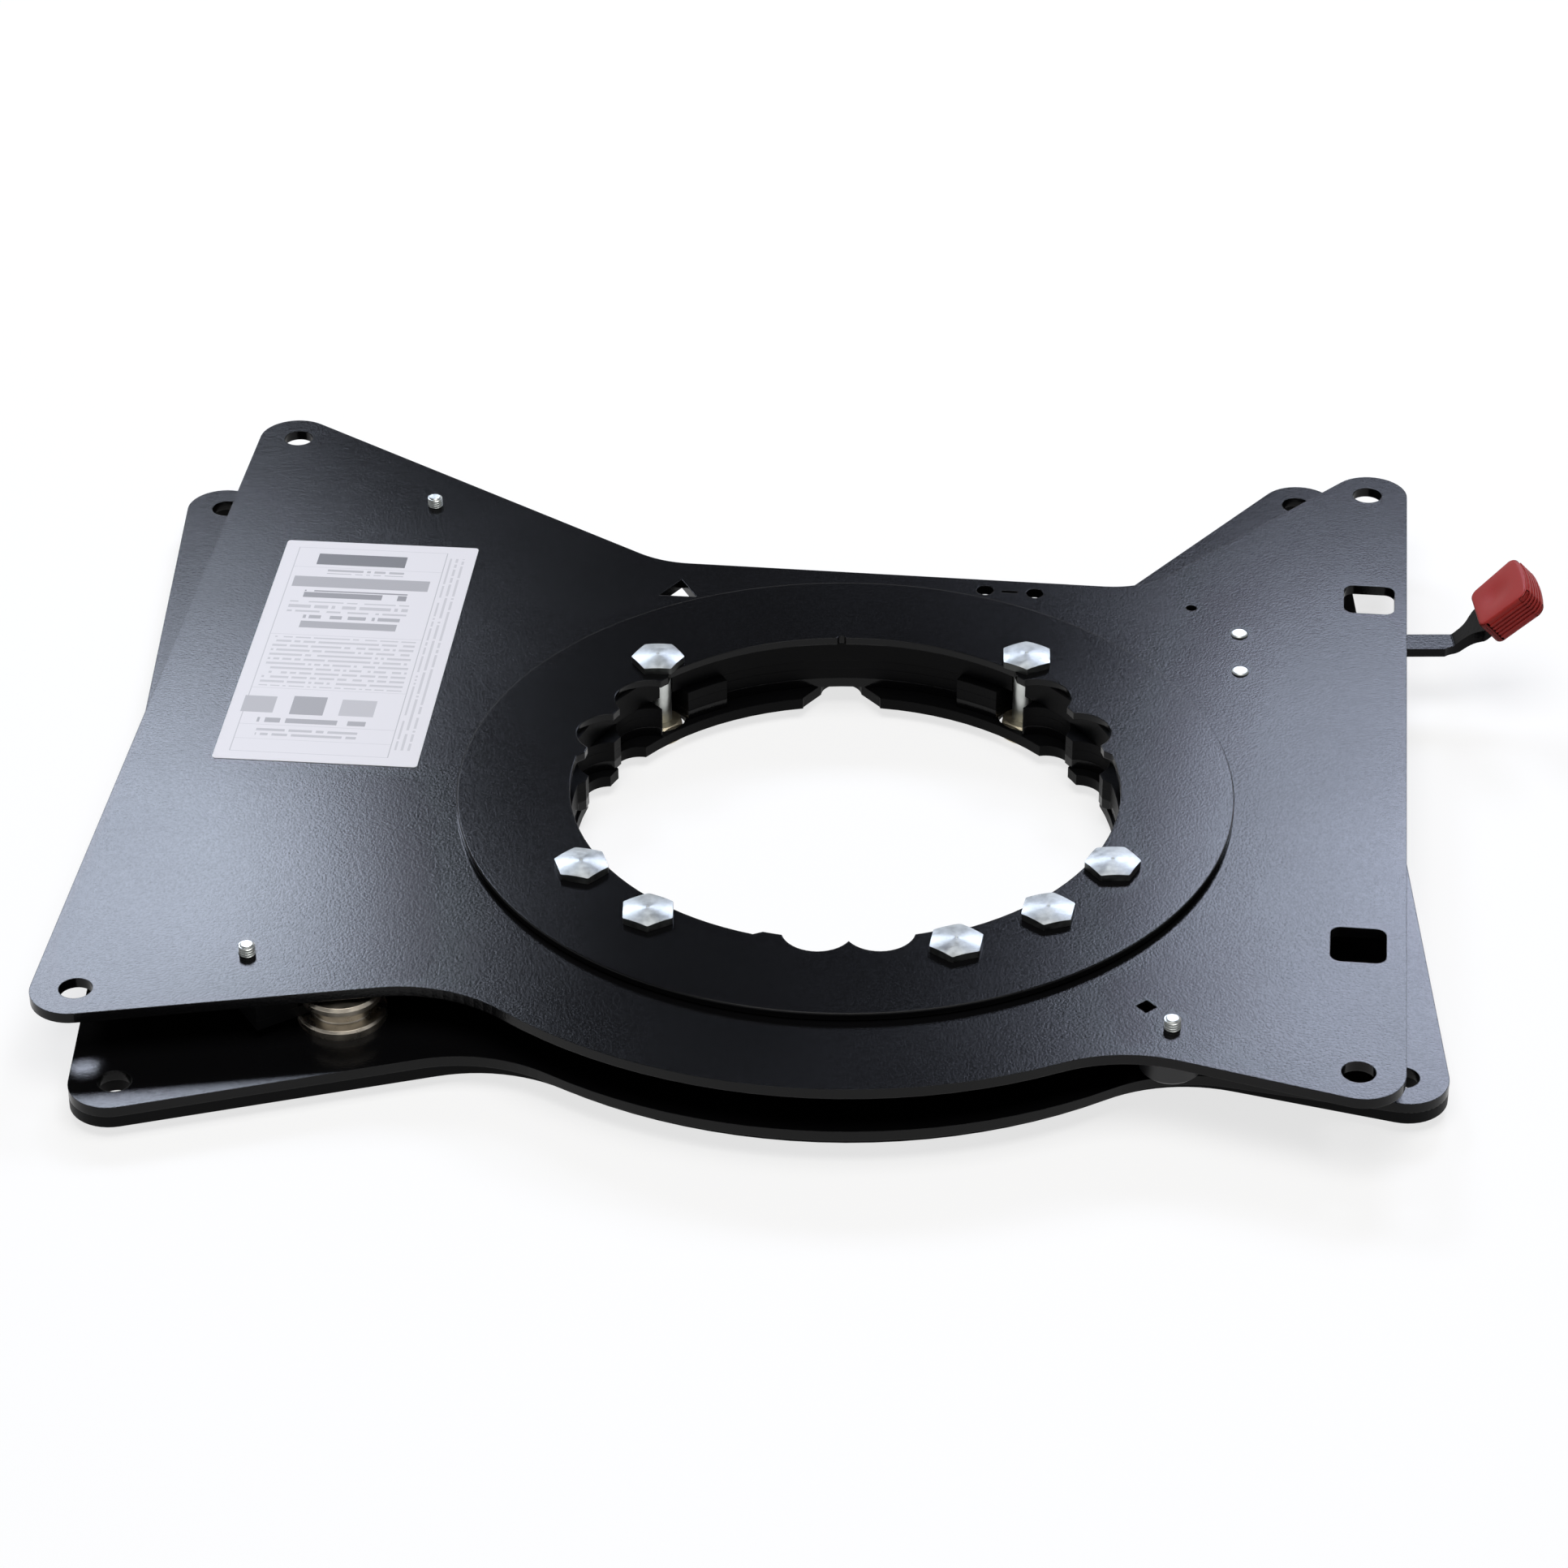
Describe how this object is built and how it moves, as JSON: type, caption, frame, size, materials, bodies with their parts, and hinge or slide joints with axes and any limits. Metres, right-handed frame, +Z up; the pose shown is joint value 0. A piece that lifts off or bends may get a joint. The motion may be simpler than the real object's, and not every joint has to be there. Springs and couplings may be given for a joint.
{
  "type": "seat swivel base",
  "caption": "Flat seat turntable: black sheet-steel plates with corner lobes, clamped centre ring and a side lever with a red grip.",
  "frame": {"origin": "centre of the lower four-hole pattern, on the underside of the bottom plate", "axes": "+X to the lever's side, +Y to the back, +Z up through the seat"},
  "size_m": [0.5628, 0.4751, 0.0547],
  "materials": {
    "black_sheet": "satin powder coat with fine orange peel",
    "black_ring": "satin powder coat",
    "zinc": "bright zinc plate",
    "zinc_yellow": "dull yellowish zinc plate",
    "post_steel": "turned bright steel",
    "slide_plastic": "hard dark plastic",
    "pad_plastic": "black plastic",
    "label_film": "white film, matt",
    "grip_red": "moulded, matt",
    "dark_steel": "thin black paint",
    "spring_steel": "drawn wire"
  },
  "bodies": {
    "base": {"bottom_plate": "black_sheet", "lower_plate": "black_sheet", "spacer_ring": "dark_steel", "lock_ring": "dark_steel", "hub_ring": "dark_steel", "slide_ring": "slide_plastic", "clamp_ring": "black_ring", "clamp_bolts": "zinc", "clamp_nuts": "zinc_yellow", "lock_post": "post_steel"},
    "swivel": {"upper_plate": "black_sheet", "centre_bush": "slide_plastic", "label": "label_film", "claw": "dark_steel", "claw_spacer": "dark_steel", "claw_screw": "zinc", "rear_pad": "pad_plastic", "front_pad": "pad_plastic", "rear_pad_screw": "zinc", "front_pad_screw": "zinc", "lever_pin": "zinc", "pawl_pin": "zinc", "pawl_bush": "post_steel", "spring_post": "post_steel"},
    "lever": {"lever_arm": "dark_steel", "grip": "grip_red", "drive_pin": "zinc"},
    "pawl": {"pawl": "post_steel", "return_spring": "spring_steel"}
  },
  "joints": [
    {"name": "swivel_turn", "type": "hinge", "parent": "base", "child": "swivel", "pos_m": [0.032, -0.044, 0.0247], "axis": [0, 0, 1], "range_deg": [-165, 6.5]},
    {"name": "lever_pull", "type": "hinge", "parent": "swivel", "child": "lever", "pos_m": [0.18862, 0.06558, 0.02], "axis": [0, 0, -1], "range_deg": [0, 8], "stiffness_Nm_per_rad": 1.5, "springref_deg": -14.32},
    {"name": "pawl_lift", "type": "hinge", "parent": "swivel", "child": "pawl", "pos_m": [0.18669, 0.03802, 0.0152], "axis": [0, 0, 1], "range_deg": [0, 8], "deforming": ["return_spring"]}
  ],
  "couplings": [
    {"joint": "pawl_lift", "follows": "lever_pull", "ratio": 1}
  ]
}
